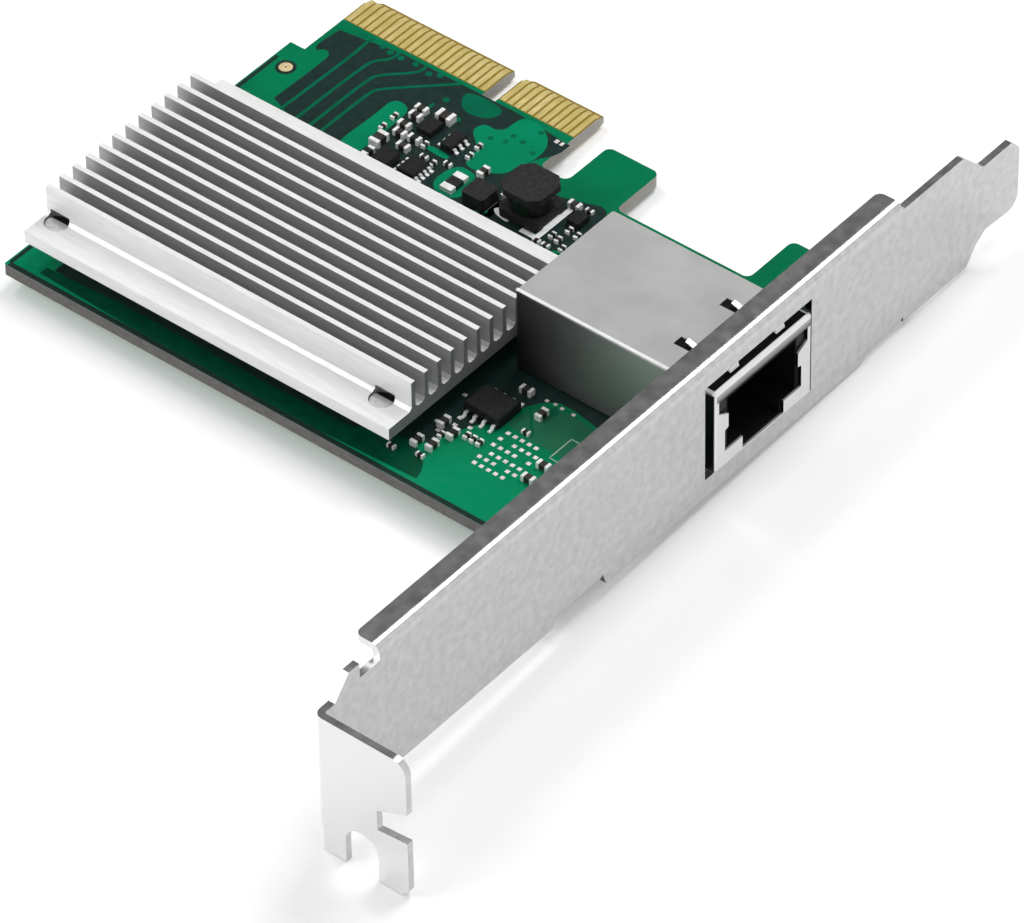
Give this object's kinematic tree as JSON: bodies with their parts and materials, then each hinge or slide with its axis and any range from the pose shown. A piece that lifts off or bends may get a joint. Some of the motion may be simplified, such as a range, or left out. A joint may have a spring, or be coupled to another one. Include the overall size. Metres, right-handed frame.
{
  "type": "network interface card",
  "caption": "Short expansion card with a shielded network jack, a finned heatsink, a notched edge connector and a full-height slot bracket folded at both edges.",
  "frame": {"origin": "on the outer face of the slot bracket, level with the line of the contact tips, at the board's component side", "axes": "+X out of the bracket and the chassis, +Y towards the mating edge socket, +Z away from the board's component side"},
  "size_m": [0.0946, 0.1201, 0.0218],
  "materials": {
    "board": "satin solder mask over glass laminate",
    "gold": "polished gold plating",
    "bracket_steel": "zinc plated, satin",
    "screw_steel": "nickel plated",
    "shield": "tin plated, satin",
    "housing": "moulded black",
    "lamp": "smoked clear",
    "tin": "tinned",
    "sink": "extruded, satin",
    "anchor_tin": "tinned, dull",
    "solder": "reflowed solder",
    "substrate": "laminate",
    "cap": "nickel plated",
    "pad": "soft grey thermal pad",
    "ferrite": "bare ferrite",
    "winding": "varnished wire",
    "chip": "moulded epoxy",
    "choke": "pressed powder",
    "ceramic_white": "fired",
    "capacitor": "fired",
    "resistor": "glazed"
  },
  "bodies": {
    "root": {"pcb": "board", "edge_contacts_top": "gold", "edge_contacts_bottom": "gold", "bracket": "bracket_steel", "bracket_screws": "screw_steel", "jack_shield": "shield", "jack_housing": "housing", "jack_lamps": "lamp", "jack_wires": "gold", "jack_pins": "tin", "heatsink": "sink", "heatsink_anchors": "anchor_tin", "controller_balls": "solder", "controller_substrate": "substrate", "controller_cap": "cap", "thermal_pad": "pad", "inductor_core": "ferrite", "inductor_winding": "winding", "inductor_terminals": "tin", "choke_body": "choke", "choke_terminals": "tin", "chip_bodies": "chip", "chip_leads": "tin", "flat_chip_bodies": "chip", "flat_chip_pads": "solder", "crystal_tray": "ceramic_white", "crystal_cover": "cap", "capacitor_bodies": "capacitor", "capacitor_ends": "tin", "resistor_bodies": "resistor", "resistor_ends": "tin"}
  },
  "joints": []
}
